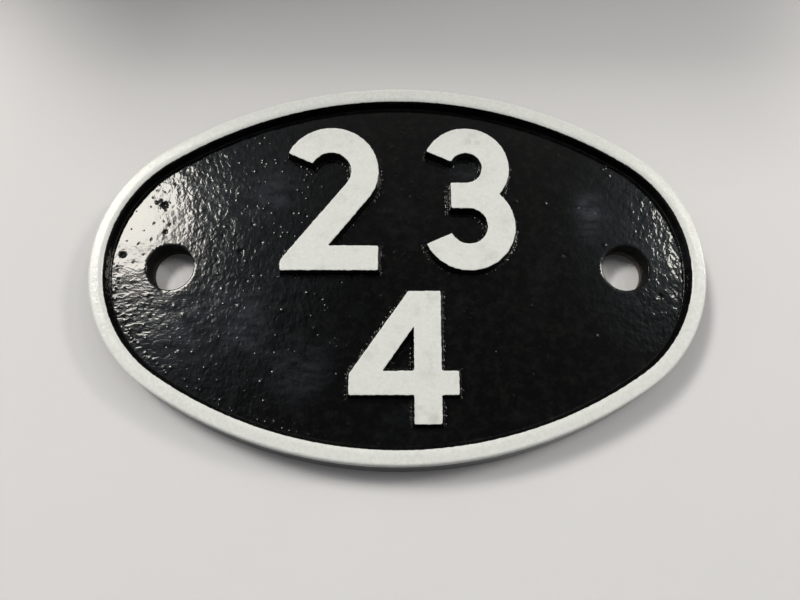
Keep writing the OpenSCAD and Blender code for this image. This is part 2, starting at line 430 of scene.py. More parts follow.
def two_colour_material(name, finish, wear, dullness):
    """White paint above the paint line, over the black; wear and dullness are those of the white."""
    shader = Shader(bpy.data.materials.new(name))
    black_tint, black_roughness, black_heights = black_layer(shader, finish)
    white_tint, white_roughness, white_heights = white_layer(shader, finish, wear, dullness)
    here = shader.place()
    line = shader.node("ShaderNodeAttribute", {"attribute_name": PAINT_LINE}, output="Fac")
    wander = shader.noise(here, 1.1 * MM, 3, 0.6) - 0.5
    edge = line + wander * LINE_WANDER
    white = shader.between(edge, *WHITE_START)
    near_edge = shader.between(edge, *STAIN_END)
    stained = near_edge * shader.between(shader.noise(here, 5 * MM, 3, 0.6), 0.55, 0.8)
    tinted = shader.mix(white_tint, rgba(finish.stain), stained * 0.25)
    black_heights = black_heights + shader.noise(here, 0.6 * MM, 1, 0.5) * ROUGH_HEIGHT
    heights = black_heights + (white_heights - black_heights) * white + white * WHITE_RISE
    return shader.surface({
        "Base Color": shader.mix(black_tint, tinted, white),
        "Roughness": black_roughness + (white_roughness - black_roughness) * white,
        "Specular IOR Level": 0.45,
        "Normal": shader.bump(heights),
    })


def floor_material(finish):
    shader = Shader(bpy.data.materials.new("pale_floor"))
    here = shader.place()
    mottle = shader.noise(here, 60 * MM, 4, 0.6)
    grain = shader.noise(here, 1.2 * MM, 2, 0.6)
    darker = tuple(0.93 * part for part in finish.floor)
    return shader.surface({
        "Base Color": shader.mix(rgba(finish.floor), rgba(darker), mottle * 0.6 + grain * 0.25),
        "Roughness": 0.55 + grain * 0.15,
        "Normal": shader.bump(grain * (0.02 * MM)),
    })


def card_material():
    shader = Shader(bpy.data.materials.new("dark_card"))
    return shader.surface({"Base Color": (0.03, 0.03, 0.03, 1.0), "Roughness": 0.9})


def placed(name, data):
    """A new object in the scene."""
    made = bpy.data.objects.new(name, data)
    bpy.context.scene.collection.objects.link(made)
    return made


def quads(levels, count):
    """Faces that join so many rings of so many points each."""
    return [
        (low + i, low + (i + 1) % count, low + count + (i + 1) % count, low + count + i)
        for low in range(0, (levels - 1) * count, count)
        for i in range(count)
    ]


class Skin:
    """Gathers rings and fills, with the paint line's distance at each point, into one mesh."""

    WELD = 0.0008 * MM

    def __init__(self):
        self.points = []
        self.faces = []
        self.paint = []
        self.kinds = []

    def add(self, points, faces, paint, kind=0):
        """Adds rows of points, the faces between them, and one paint distance for all or for each."""
        start = len(self.points)
        self.points += [tuple(row) for row in np.asarray(points, float)]
        self.faces += [tuple(start + i for i in face) for face in faces]
        self.paint += list(np.broadcast_to(np.asarray(paint, float), len(points)))
        self.kinds += [kind] * len(faces)

    def sweep(self, rings, paints, kind=0):
        """Joins rings that have equally many points with quads."""
        count = len(rings[0])
        self.add(np.concatenate(rings), quads(len(rings), count), np.repeat(paints, count), kind)

    def piece(self, name, slot, materials, *nodes):
        """Makes the welded mesh and seats it in the frame in place of CAD nodes."""
        mesh = bpy.data.meshes.new(name)
        mesh.from_pydata(self.points, [], self.faces)
        mesh.attributes.new(PAINT_LINE, "FLOAT", "POINT").data.foreach_set("value", self.paint)
        for material in materials:
            mesh.materials.append(material)
        mesh.polygons.foreach_set("material_index", self.kinds)
        work = bmesh.new()
        work.from_mesh(mesh)
        bmesh.ops.remove_doubles(work, verts=work.verts, dist=self.WELD)
        bmesh.ops.recalc_face_normals(work, faces=work.faces)
        work.to_mesh(mesh)
        work.free()
        mesh.polygons.foreach_set("use_smooth", [True] * len(mesh.polygons))
        made = placed(name, mesh)
        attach(made, "root")
        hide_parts(*nodes)


def at_height(flat, height):
    """Rows of three from rows of two and a height, or a height for each row."""
    return np.column_stack([flat, np.broadcast_to(height, len(flat))])


def wandering(points, size, seed=0.0):
    """Smooth noise from -1 to 1 at each point."""
    return np.array([noise.noise(Vector((x / size, y / size, z / size + seed))) for x, y, z in points])


def inside(points, outline, *holes):
    """Which points lie in a closed outline but in no hole of it, by counting the edges to their right."""
    odd = np.zeros(len(points), bool)
    x, y = points[:, 0], points[:, 1]
    for loop in (outline, *holes):
        for (ax, ay), (bx, by) in zip(loop, np.roll(loop, -1, axis=0)):
            spans = (ay > y) != (by > y)
            rise = by - ay if by != ay else 1.0
            odd ^= spans & (x < ax + (y - ay) * (bx - ax) / rise)
    return odd


def nearest_distance(points, others):
    """How far each point lies from the nearest of the others."""
    nearest = np.full(len(points), np.inf)
    for x, y in others:
        nearest = np.minimum(nearest, (points[:, 0] - x) ** 2 + (points[:, 1] - y) ** 2)
    return np.sqrt(nearest)


def far_from(points, others, gap):
    """Which points lie more than a gap away from all the others."""
    return nearest_distance(points, others) > gap


def strewn_grid(loop, step):
    """Points of a triangular grid over the box of an outline."""
    low, high = loop.min(0), loop.max(0)
    rise = step * math.sqrt(0.75)
    rows = np.arange(low[1], high[1], rise)
    columns = np.arange(low[0], high[0], step)
    return np.array([(x + step / 2 * (row % 2), y) for row, y in enumerate(rows) for x in columns])


# the points of each ring round a spot of the field, and the rings' shares of its radius
SPOT_POINTS = 8
SPOT_RINGS = (0.35, 0.7, 1.0)


def filled(loops, step, extra=()):
    """Triangles over a flat region, given by its outline and its holes, with extra points round spots."""
    grid = strewn_grid(loops[0], step)
    edge_points = np.concatenate(loops)
    grid = grid[inside(grid, *loops)]
    grid = grid[far_from(grid, edge_points, 0.6 * step)]
    for centre, radius, _ in extra:
        grid = grid[far_from(grid, [centre], radius + 0.35 * step)]
    spots = [
        ring_round(centre, radius * share, SPOT_POINTS)
        for centre, radius, _ in extra
        for share in SPOT_RINGS
    ]
    centres = [np.array([centre]) for centre, _, _ in extra]
    points = np.concatenate([edge_points, grid, *spots, *centres])
    edges, start = [], 0
    for loop in loops:
        count = len(loop)
        edges += [(start + i, start + (i + 1) % count) for i in range(count)]
        start += count
    vectors = [Vector(point) for point in points]
    flat, _, triangles, *_ = geometry.delaunay_2d_cdt(vectors, edges, [], 1, 1e-9)
    flat = np.array([tuple(point) for point in flat])
    triangles = np.array([tuple(face) for face in triangles])
    solid = inside(flat[triangles].mean(1), *loops)
    return flat, triangles[solid].tolist()


def ring_round(centre, radius, count):
    turns = np.arange(count) * 2 * math.pi / count
    return np.array(centre) + radius * np.column_stack([np.cos(turns), np.sin(turns)])


def oval(sizes, step):
    """Points and outward directions round the four-arc oval of the back edge."""
    half_length, half_width, end = sizes.plate_length / 2, sizes.plate_width / 2, sizes.end_radius
    end_x = half_length - end
    flank = end + (end_x**2 + (half_width - end) ** 2) / (2 * (half_width - end))
    join = math.acos(end_x / (flank - end))
    arcs = [
        ((end_x, 0.0), end, -join, join),
        ((0.0, half_width - flank), flank, join, math.pi - join),
        ((-end_x, 0.0), end, math.pi - join, math.pi + join),
        ((0.0, flank - half_width), flank, math.pi + join, 2 * math.pi - join),
    ]
    points, outward = [], []
    for centre, radius, start, stop in arcs:
        turns = np.linspace(start, stop, round(radius * (stop - start) / step), endpoint=False)
        away = np.column_stack([np.cos(turns), np.sin(turns)])
        points.append(np.array(centre) + radius * away)
        outward.append(away)
    return np.concatenate(points), np.concatenate(outward)


def rounded(corner, start, stop, count):
    """Points of a section's arc: corner is its centre and radius, and the angles are in degrees."""
    x, z, radius = corner
    turns = np.radians(np.linspace(start, stop, count))
    return [(x + radius * math.cos(turn), z + radius * math.sin(turn)) for turn in turns]


def section_lengths(section):
    """How far along a section each of its points lies."""
    steps = [math.dist(a, b) for a, b in zip(section, section[1:])]
    return np.concatenate([[0.0], np.cumsum(steps)])


# how far apart the points lie in the field, round the oval, in a numeral's face, in the back and in a
# numeral's hidden foot, and how many are round a fixing hole
FIELD_STEP, OVAL_STEP, FACE_STEP, BACK_STEP, FOOT_STEP = 0.75 * MM, 0.6 * MM, 0.9 * MM, 3 * MM, 4 * MM
HOLE_POINTS = 72
# heights of the rough casting in the holes and on the numerals' sides, of the beads at the feet, and of
# the long waves of the raised faces
HOLE_ROUGHNESS, NUMERAL_ROUGHNESS = 0.09 * MM, 0.11 * MM
RIM_BEADS, NUMERAL_BEADS = 0.1 * MM, 0.14 * MM
FACE_WAVES = 0.02 * MM
# how deep the rim and the numerals are bedded in the plate, out of sight
BED = 0.15 * MM
# how many rings there are in the rim's outer wall, its face, its cove and each of its rounds
WALL_RINGS, FACE_RINGS, COVE_RINGS, ROUND_RINGS = 5, 3, 7, 9
# where the roll of the rim's face ends, in degrees, and the depths of the rings below it
ROLL_END = 80
INNER_DEPTHS = (1.2 * MM, 1.9 * MM, 2.5 * MM)


def wall_lean(sizes, height):
    return -sizes.edge_lean * height


def rim_section(sizes):
    """The rim's section from the side wall over the shoulder and the face down to the field."""
    top, field = sizes.total_height, sizes.field_height
    shoulder = sizes.shoulder_radius
    shoulder_z = top - shoulder
    shoulder_x = wall_lean(sizes, shoulder_z) - shoulder
    face_x = wall_lean(sizes, top) - sizes.rim_width
    roll_x, roll_z = sizes.crown_width, sizes.crown_depth
    cove = sizes.cove_radius
    foot_x = face_x - sizes.rim_lean * (top - field)
    heights = np.linspace(field, shoulder_z - 0.3 * MM, WALL_RINGS)
    wall = [(wall_lean(sizes, z), z) for z in heights]
    over = rounded((shoulder_x, shoulder_z, shoulder), 0, 90, ROUND_RINGS)
    face = [(x, top) for x in np.linspace(shoulder_x - 0.3 * MM, face_x + roll_x + 0.2 * MM, FACE_RINGS)]
    turns = np.radians(np.linspace(0, ROLL_END, ROUND_RINGS))
    inner = [(face_x + roll_x * (1 - math.sin(turn)), top - roll_z * (1 - math.cos(turn))) for turn in turns]
    down = [(face_x - sizes.rim_lean * depth, top - depth) for depth in INNER_DEPTHS]
    foot = rounded((foot_x - cove + 0.1 * MM, field + cove, cove), -12, -90, COVE_RINGS)
    under = [(foot_x - cove - 0.2 * MM, field - BED)]
    return wall + over + face + inner + down + foot + under, len(wall), len(wall + over + face)


# how far the white runs down the side wall, and the point of the face's roll where it stops
WHITE_DROP = 2.6 * MM
ROLL_POINT = 7
# past so many rings of the shoulder and up to so many of the roll, the rim's face is rough upwards and
# not outwards, and keeps this share of the roughness
FACE_AFTER, FACE_UNTIL, FACE_SHARE = 3, 2, 0.3
# the rim's last rings, at its foot, are beaded
BEADED_RINGS = 8
# how far from the paint line a surface counts as lying where it is black all over, and white all over
ALL_BLACK, ALL_WHITE = -1.0 * MM, 2 * MM


def cast_shift(sizes, ring):
    """How far out the rough casting moves each point of a ring: mostly inwards, so below nothing."""
    rough = wandering(ring, 2.2 * MM) + 0.5 * wandering(ring, 0.9 * MM, 7.0)
    return sizes.cast_roughness * (rough * 0.4 - 0.6)


def side_ring(sizes, base, outward, height):
    """A ring of the rough side wall, which the plate and the rim share."""
    ring = at_height(base + wall_lean(sizes, height) * outward, height)
    ring[:, :2] += outward * cast_shift(sizes, ring)[:, None]
    return ring


def build_border_rim(sizes, material):
    base, outward = oval(sizes, OVAL_STEP)
    section, shoulder_start, inner_start = rim_section(sizes)
    along = section_lengths(section)
    outer_line = along[shoulder_start] - WHITE_DROP
    inner_line = along[inner_start + ROLL_POINT]
    paints = np.minimum(along - outer_line, inner_line - along)
    rings = []
    for index, (offset, height) in enumerate(section):
        ring = at_height(base + offset * outward, height)
        if 0 < index < len(section) - 1:
            on_top = shoulder_start + FACE_AFTER < index < inner_start + FACE_UNTIL
            share = FACE_SHARE if on_top else 1.0
            shift = share * cast_shift(sizes, ring) + FACE_WAVES * (wandering(ring, 14 * MM, 3.0) - 1)
            if on_top:
                ring[:, 2] += shift
            else:
                ring[:, :2] += outward * shift[:, None]
            if index >= len(section) - BEADED_RINGS:
                ring[:, 2] += RIM_BEADS * wandering(ring, 0.7 * MM, 12.0)
        rings.append(ring)
    rings[0] = side_ring(sizes, base, outward, sizes.field_height)
    skin = Skin()
    skin.sweep(rings, paints)
    bottom = at_height(base + (section[0][0] - 0.5 * MM) * outward, sizes.field_height - BED)
    skin.sweep([rings[-1], bottom, rings[0]], np.full(3, ALL_BLACK))
    skin.piece("raised_rim", WHITE_SLOT, [material], "border_rim")


# pits and pimples that stand out: x, y, radius and height in millimetres
MARKED_SPOTS = (
    (-85.4, 4, 1.15, -0.3), (-73.8, 20.6, 1.3, -0.33), (-72.7, 11.6, 0.9, -0.12), (-49, 5, 1, -0.22),
    (-49.9, -11.6, 0.9, -0.15), (-35.5, -13.5, 0.7, 0.1), (-61, 36, 0.7, 0.12), (52, 4, 0.6, -0.12),
    (60, -21.5, 0.6, 0.1), (80.5, -9, 1, -0.15), (36, 33, 0.5, 0.08), (67, 35, 0.8, 0.12),
    (-2, 41, 0.8, 0.1), (-1, 5, 0.9, 0.12), (40.5, -12, 0.8, 0.08), (-28, -8, 0.7, 0.1),
    (-80.5, 23.5, 0.45, -0.04), (-78, 20, 0.4, -0.04), (-82.5, 18.5, 0.35, -0.03),
    (-76.5, 14.5, 0.45, -0.045), (-79.5, 12, 0.35, -0.03), (-83.5, 12.5, 0.4, -0.035),
    (-77, 9, 0.45, -0.045), (-81, 7.5, 0.4, -0.04), (-84.5, 8.5, 0.3, -0.025), (-74, 25, 0.45, -0.045),
    (-71, 28, 0.4, -0.035), (-76, 27.5, 0.35, -0.03), (-74.8, 22.2, 0.5, -0.08),
    (-73.2, 18.9, 0.4, -0.05), (-72.2, 21.4, 0.4, -0.05), (-76.2, 29.6, 0.35, -0.03),
    (-79, 4, 0.35, -0.03), (-82, 1.5, 0.45, -0.04), (-73.5, 15, 0.3, -0.03), (-75, 19.5, 0.35, -0.03),
)
# nests of pimples: x, y and spread in millimetres and their number, and each pimple's radius and height
CLUSTERS = (
    (20.9, -12.6, 1.3, 6), (-22.3, -12.7, 0.9, 4), (-18.6, -23.8, 1.6, 6), (1.8, 46.8, 1.5, 6),
    (-30.5, 31.5, 2, 6), (-41, 36, 1.8, 6), (2.5, 3.9, 0.8, 3), (66.5, 33, 1, 4), (-36.5, 12, 1.5, 5),
    (-33, 4.5, 1.2, 4),
)
CLUSTER_SPOT = (0.5 * MM, 0.06 * MM)
# the share of the places along the rim's foot, at the lower left, that have a bead
BEAD_CHANCE = 0.45
# the seed of all that is strewn over the field
SEED = 51
# the other spots gather round so many nests, which are shifted left by up to so far
NESTS, NEST_SHIFT = 46, 50 * MM
# they spread so far from their nest and lie this far apart, and past x only a share of them is kept
NEST_SPREAD, SPOT_GAP = 5.5 * MM, 1.9 * MM
FEW_PAST, FEW = 12 * MM, 0.15
# how far they stay from the field's edge and from a hole's lip
EDGE_MARGIN, HOLE_MARGIN = 1.3 * MM, 1.2 * MM
# the lengths of the field's waves, and how far from its edge they start and how much farther they are full
LONG_WAVE, SHORT_WAVE = 26 * MM, 9 * MM
WAVE_START, WAVE_GROWTH = 0.8 * MM, 4 * MM


def field_spots(sizes, outline, holes):
    """Centres, radii and heights of the pimples and pits in the field, the same ones each time."""
    chance = np.random.RandomState(SEED)
    spots = [(np.array((x, y)) * MM, radius * MM, height * MM) for x, y, radius, height in MARKED_SPOTS]
    low, high = outline.min(0), outline.max(0)
    nests = low + chance.rand(NESTS, 2) * (high - low)
    nests[:, 0] -= NEST_SHIFT * chance.rand(NESTS)
    for x, y, spread, count in CLUSTERS:
        places = np.array((x, y)) * MM + chance.normal(0, spread * MM, (count, 2))
        spots += [(place, *CLUSTER_SPOT) for place in places]
    # beads along the foot of the rim, at the lower left
    for place in outline[(outline[:, 0] < -25 * MM) & (outline[:, 1] < 2 * MM)][::2]:
        if chance.rand() < BEAD_CHANCE:
            place = place * (1 - chance.uniform(1.3, 3.2) * MM / np.linalg.norm(place))
            spots.append((place, chance.uniform(0.35, 0.6) * MM, chance.uniform(0.05, 0.14) * MM))
    marked = len(spots)
    wanted = marked + sizes.pimples + sizes.pits
    tries = 4 * wanted
    strewn = nests[chance.randint(0, NESTS, tries)] + chance.normal(0, NEST_SPREAD, (tries, 2))
    keep = inside(strewn, outline) & far_from(strewn, outline, EDGE_MARGIN)
    keep &= (strewn[:, 0] < FEW_PAST) | (chance.rand(tries) < FEW)
    for hole in holes:
        keep &= far_from(strewn, [hole.mean(0)], sizes.hole_radius + sizes.lip_radius + HOLE_MARGIN)
    for centre in strewn[keep]:
        if len(spots) == wanted:
            break
        if not far_from(np.array([centre]), [spot[0] for spot in spots], SPOT_GAP)[0]:
            continue
        size = chance.rand() ** 2
        if len(spots) < marked + sizes.pits:
            spots.append((centre, (0.3 + 0.4 * size) * MM, -(0.03 + 0.09 * size) * MM))
        else:
            spots.append((centre, (0.3 + 0.5 * size) * MM, (0.022 + 0.08 * size) * MM))
    return spots


def field_heights(sizes, flat, spots, outline):
    """Height of the painted field at each point: long waves, pits and pimples, level at its edge."""
    points = at_height(flat, 0.0)
    waves = wandering(points, LONG_WAVE, 1.0) + 0.35 * wandering(points, SHORT_WAVE, 5.0)
    edge = nearest_distance(flat, outline)
    growth = np.clip((edge - WAVE_START) / WAVE_GROWTH, 0, 1)
    heights = sizes.field_height + sizes.field_waves * waves * growth
    for centre, radius, height in spots:
        share = ((flat - centre) ** 2).sum(1) / radius**2
        heights += height * np.clip(1 - share, 0, 1) ** 2
    return heights


# how many rings there are in the plate's side and its back corner, and in a hole's wall and its lips
SIDE_RINGS, CORNER_RINGS = 12, 4
HOLE_RINGS, FRONT_LIP_RINGS, BACK_LIP_RINGS = 9, 6, 4
# radii of the plate's back corner and of a hole's back lip
BACK_CORNER, BACK_LIP = 0.35 * MM, 0.3 * MM
# how far in from the rim's face the field starts, under the rim
FIELD_START = 0.3 * MM


def hole_section(sizes):
    """Radius and height of each ring of a hole, from the back up to the field."""
    radius, lip, field = sizes.hole_radius, sizes.lip_radius, sizes.field_height
    back = rounded((radius + BACK_LIP, BACK_LIP, BACK_LIP), 270, 180, BACK_LIP_RINGS)
    heights = np.linspace(BACK_LIP + 0.7 * MM, field - lip - 0.5 * MM, HOLE_RINGS)
    front = rounded((radius + lip, field - lip, lip), 180, 90, FRONT_LIP_RINGS)
    return back + [(radius, z) for z in heights] + front


def build_back_plate(sizes, materials):
    base, outward = oval(sizes, OVAL_STEP)
    skin = Skin()
    heights = np.linspace(BACK_CORNER, sizes.field_height, SIDE_RINGS)
    side = [side_ring(sizes, base, outward, z) for z in heights]
    turned = rounded((-BACK_CORNER - 0.08 * MM, BACK_CORNER, BACK_CORNER), -90, -20, CORNER_RINGS)
    corner = [at_height(base + offset * outward, height) for offset, height in turned]
    skin.sweep(corner + side, np.full(len(corner + side), ALL_BLACK))
    rim_foot = wall_lean(sizes, sizes.total_height) - sizes.rim_width
    field_edge = base + (rim_foot - FIELD_START) * outward
    skin.sweep([side[-1], at_height(field_edge, sizes.field_height)], np.full(2, ALL_BLACK))
    section = hole_section(sizes)
    holes, back_holes = [], []
    for side_sign in (-1, 1):
        centre = np.array([side_sign * (sizes.plate_length / 2 - sizes.hole_inset), 0.0])
        rings = []
        for index, (radius, height) in enumerate(section):
            ring = at_height(ring_round(centre, radius, HOLE_POINTS), height)
            if 0 < index < len(section) - 1:
                away = (ring[:, :2] - centre) / radius
                rough = wandering(ring, 2.4 * MM, 11.0) + 0.5 * wandering(ring, 0.9 * MM, 4.0)
                ring[:, :2] += away * (HOLE_ROUGHNESS * rough)[:, None]
            rings.append(ring)
        skin.sweep(rings[:-2], np.full(len(rings) - 2, ALL_BLACK), 1)
        skin.sweep(rings[-3:], np.full(3, ALL_BLACK))
        back_holes.append(rings[0][:, :2])
        holes.append(rings[-1][:, :2])
    spots = field_spots(sizes, field_edge, holes)
    flat, triangles = filled([field_edge, *holes], FIELD_STEP, spots)
    edges = np.concatenate([field_edge, *holes])
    skin.add(at_height(flat, field_heights(sizes, flat, spots, edges)), triangles, ALL_BLACK)
    flat, triangles = filled([corner[0][:, :2], *back_holes], BACK_STEP)
    skin.add(at_height(flat, 0.0), triangles, ALL_BLACK)
    skin.piece("sunk_field_plate", BLACK_SLOT, materials, "back_plate")


OUTLINE_STEP = 0.25 * MM


def arc(centre, radius, start, stop):
    """Points of an arc of an outline, with both of its ends."""
    count = max(3, round(abs(stop - start) * radius / (2 * OUTLINE_STEP)))
    return [
        (centre[0] + radius * math.cos(turn), centre[1] + radius * math.sin(turn))
        for turn in np.linspace(start, stop, count)
    ]


def two_outline(sizes, width, height):
    """The two: a hooked curve, a sloping leg that touches it, and a level bar."""
    half = sizes.stroke / 2
    outer, inner = width / 2, width / 2 - sizes.stroke
    middle = outer - half
    centre = (width / 2, height - width / 2)
    foot = (sizes.two_foot, sizes.bar / 2)
    reach = math.dist(foot, centre)
    slope = math.atan2(centre[1] - foot[1], centre[0] - foot[0]) - math.asin(middle / reach)
    tip = math.pi - sizes.tip_angle
    along = (math.cos(slope), math.sin(slope))
    aside = (along[1] * half, -along[0] * half)
    right = (foot[0] + aside[0], foot[1] + aside[1])
    left = (foot[0] - aside[0], foot[1] - aside[1])
    bar_meets = right[0] + (sizes.bar - right[1]) * along[0] / along[1]
    side_meets = left[1] - left[0] * along[1] / along[0]
    outline = [(0.0, 0.0), (width, 0.0), (width, sizes.bar), (bar_meets, sizes.bar)]
    outline += arc(centre, outer, slope - math.pi / 2, tip)
    outline += arc(centre, inner, tip, slope - math.pi / 2)
    return [outline + [(0.0, side_meets)]]


def three_outline(sizes, width, height):
    """The three: two bowls that share their middle stroke, and a short middle arm."""
    stroke, tip = sizes.stroke, math.pi - sizes.tip_angle
    low_outer = width / 2
    low_inner = low_outer - stroke
    high_outer = (height - width + stroke) / 2
    high_inner = high_outer - stroke
    low = (width / 2, width / 2)
    high = (width - sizes.three_setback - high_outer, height - high_outer)
    # the outer arcs cross on the right, where the two circles meet
    apart = math.dist(low, high)
    lean = math.atan2(high[1] - low[1], high[0] - low[0])
    low_turn = lean - math.acos((low_outer**2 + apart**2 - high_outer**2) / (2 * low_outer * apart))
    high_turn = lean - math.pi
    high_turn += math.acos((high_outer**2 + apart**2 - low_outer**2) / (2 * high_outer * apart))
    arm = low[0] - sizes.three_arm
    outline = arc(low, low_outer, -tip, low_turn)
    outline += arc(high, high_outer, high_turn, tip)[1:]
    outline += arc(high, high_inner, tip, -math.pi / 2)
    outline += [(arm, width), (arm, width - stroke)]
    return [outline + arc(low, low_inner, math.pi / 2, -tip)]


def four_outline(sizes, width, height):
    """The four: a stem, a level bar past it, a sloping stroke and the hole that they enclose."""
    right = width - sizes.four_tail
    left = right - sizes.stem
    low, high = sizes.four_bar_rise, sizes.four_bar_rise + sizes.four_bar
    top = right - sizes.four_top
    heel = high - sizes.four_heel
    slope = math.atan2(height - heel, top)
    outline = [
        (left, 0.0), (right, 0.0), (right, low), (width, low), (width, high), (right, high),
        (right, height), (top, height), (0.0, heel), (0.0, low), (left, low),
    ]
    inner_x = sizes.slope * math.sin(slope)
    inner_y = heel - sizes.slope * math.cos(slope)
    corner = (inner_x + (high - inner_y) / math.tan(slope), high)
    peak = (left, inner_y + (left - inner_x) * math.tan(slope))
    return [outline, [corner, peak, (left, high)]]


def mitred(outline):
    """Close points along an outline, and for each how it moves when the outline grows by one unit."""
    points = np.array(outline)
    ahead = np.roll(points, -1, axis=0) - points
    ahead /= np.linalg.norm(ahead, axis=1)[:, None]
    outward = np.column_stack([ahead[:, 1], -ahead[:, 0]])
    before = np.roll(outward, 1, axis=0)
    growth = (outward + before) / (1 + (outward * before).sum(1))[:, None]
    close, moves = [], []
    for i, point in enumerate(points):
        after = (i + 1) % len(points)
        count = max(1, math.ceil(math.dist(point, points[after]) / OUTLINE_STEP))
        shares = np.arange(count)[:, None] / count
        close.append(point + shares * (points[after] - point))
        moves.append(growth[i] + shares * (growth[after] - growth[i]))
    return np.concatenate(close), np.concatenate(moves)


def softened(ring, passes):
    """The ring with its corners rounded, by averaging each point with its neighbours."""
    for _ in range(passes):
        ring = (np.roll(ring, 1, axis=0) + 2 * ring + np.roll(ring, -1, axis=0)) / 4
    return ring


# the last rings of a numeral's section, on its rounded edge and its face: the casting's roughness doesn't
# reach them, and the white starts so far before the first of them
EDGE_RINGS = 4
WHITE_BEFORE = 0.12 * MM
# how many rings there are in a numeral's cove, its side and its rounded edge
NUMERAL_COVE, NUMERAL_SIDE, NUMERAL_EDGE = 6, 7, 6
# how often the rings are averaged, to round a numeral's corners
SOFT_PASSES = 5


def numeral_section(sizes, relief):
    """Each ring's distance out from the face's outline and its height, and how many are at the foot."""
    edge, cove = sizes.edge_radius, sizes.cove_radius
    foot = sizes.draft * relief
    skirt = foot + cove
    below = [(skirt + 0.7 * MM, -BED), (skirt + 0.45 * MM, -0.05 * MM), (skirt + 0.2 * MM, -0.01 * MM)]
    root = rounded((foot + cove - 0.06 * MM, cove, cove), 270, 188, NUMERAL_COVE)
    heights = np.linspace(cove + 0.35 * MM, relief - edge - 0.2 * MM, NUMERAL_SIDE)
    wall = [(sizes.draft * (relief - z), z) for z in heights]
    over = rounded((-edge, relief - edge, edge), 10, 90, NUMERAL_EDGE)
    return below + root + wall + over + [(-edge - 0.3 * MM, relief)], len(below + root)


def build_numeral(name, node, outline, plate, sizes, material):
    low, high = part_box(node)
    relief = plate.total_height - plate.field_height
    foot = sizes.draft * relief
    width, height = high.x - low.x - 2 * foot, high.y - low.y - 2 * foot
    corner = np.array([low.x + foot, low.y + foot])
    section, foot_rings = numeral_section(sizes, relief)
    along = section_lengths(section)
    paints = along - along[-EDGE_RINGS] + WHITE_BEFORE
    skin, faces, feet = Skin(), [], []
    for loop in outline(sizes, width, height):
        points, moves = mitred(loop)
        rings = []
        for index, (offset, rise) in enumerate(section):
            flat = corner + softened(points + offset * moves, SOFT_PASSES)
            ring = at_height(flat, plate.field_height + rise)
            if 0 < index < len(section) - EDGE_RINGS:
                rough = wandering(ring, 1.6 * MM, 2.0) + 0.7 * wandering(ring, 0.75 * MM, 9.0)
                ring[:, :2] += moves * (NUMERAL_ROUGHNESS * rough)[:, None]
                if index < foot_rings:
                    ring[:, 2] += NUMERAL_BEADS * wandering(ring, 0.6 * MM, 5.0)
            rings.append(ring)
        skin.sweep(rings, paints)
        faces.append(rings[-1][:, :2])
        feet.append(rings[0][:, :2])
    flat, triangles = filled(faces, FACE_STEP)
    heights = plate.total_height - FACE_WAVES * (1 + wandering(at_height(flat, 0.0), 6 * MM, 8.0))
    heights = np.where(nearest_distance(flat, np.concatenate(faces)) < 1e-7, plate.total_height, heights)
    skin.add(at_height(flat, heights), triangles, ALL_WHITE)
    flat, triangles = filled(feet, FOOT_STEP)
    skin.add(at_height(flat, plate.field_height - BED), triangles, ALL_BLACK)
    skin.piece(name, WHITE_SLOT, [material], node)


# the points in each ring of the floor, the radii of its innermost rings, and the angles up its sweep, in
# degrees: the first, the last and how many
FLOOR_POINTS = 96
FLOOR_MIDDLE = (0.02, 0.25)
FLOOR_SWEEP = (0, 80, 15)


def build_floor(stage, material):
    """A level floor that sweeps up all round, so that no view looks past it."""
    profile = [(radius, 0.0) for radius in (*FLOOR_MIDDLE, stage.floor_radius)]
    for rise in np.radians(np.linspace(*FLOOR_SWEEP))[1:]:
        out, up = math.sin(rise), 1 - math.cos(rise)
        profile.append((stage.floor_radius + stage.sweep_radius * out, stage.sweep_radius * up))
    rings = [at_height(ring_round((0, 0), radius, FLOOR_POINTS), height) for radius, height in profile]
    faces = [tuple(range(FLOOR_POINTS))]
    faces += [(a, d, c, b) for a, b, c, d in quads(len(rings), FLOOR_POINTS)]
    mesh = bpy.data.meshes.new("floor")
    mesh.from_pydata([tuple(point) for point in np.concatenate(rings)], [], faces)
    mesh.polygons.foreach_set("use_smooth", [True] * len(mesh.polygons))
    mesh.materials.append(material)
    made = placed("floor", mesh)


# each light panel's reach across and along, for one unit of height above the plate, and whether the
# gloss mirrors it
PANELS = {
    "panel": ((-0.66, -0.388), (0.315, 0.5), True),
    "panel_core": ((-0.65, -0.41), (0.42, 0.7), False),
    "soft_panel": ((0.0, 0.36), (0.12, 0.42), False),
    "side_panel": ((0.85, 1.12), (0.3, 0.6), True),
    "spot_panel": ((0.51, 0.6), (0.3, 0.52), True),
}
PANEL_LIGHT = (1.0, 0.965, 0.87)


def build_panel(name, stage):
    """One of the level light panels, with the brightness that the stage gives under its name."""
    across, along, mirrored = PANELS[name]
    light = bpy.data.lights.new(name, "AREA")
    light.shape = "RECTANGLE"
    light.size = (across[1] - across[0]) * stage.panel_height
    light.size_y = (along[1] - along[0]) * stage.panel_height
    light.energy = math.pi * getattr(stage, name) * light.size * light.size_y
    light.color = PANEL_LIGHT
    made = placed(name, light)
    made.location = [sum(ends) / 2 * stage.panel_height for ends in (across, along, (1.0, 1.0))]
    made.visible_camera = False
    made.visible_glossy = mirrored


def build_shade(stage, material):
    """A card that softly shades the far side, out of the camera's sight and of the reflections."""
    mesh = bpy.data.meshes.new("shade")
    left, right = stage.shade_left, stage.shade_left + stage.shade_width
    near, far, spread = stage.shade_near, stage.shade_near + stage.shade_depth, stage.shade_spread
    corners = ((left, near), (right, near), (right + spread, far), (left - spread, far))
    mesh.from_pydata([(x, y, stage.shade_height) for x, y in corners], [], [(0, 1, 2, 3)])
    mesh.materials.append(material)
    made = placed("shade", mesh)
    made.visible_camera = made.visible_glossy = False


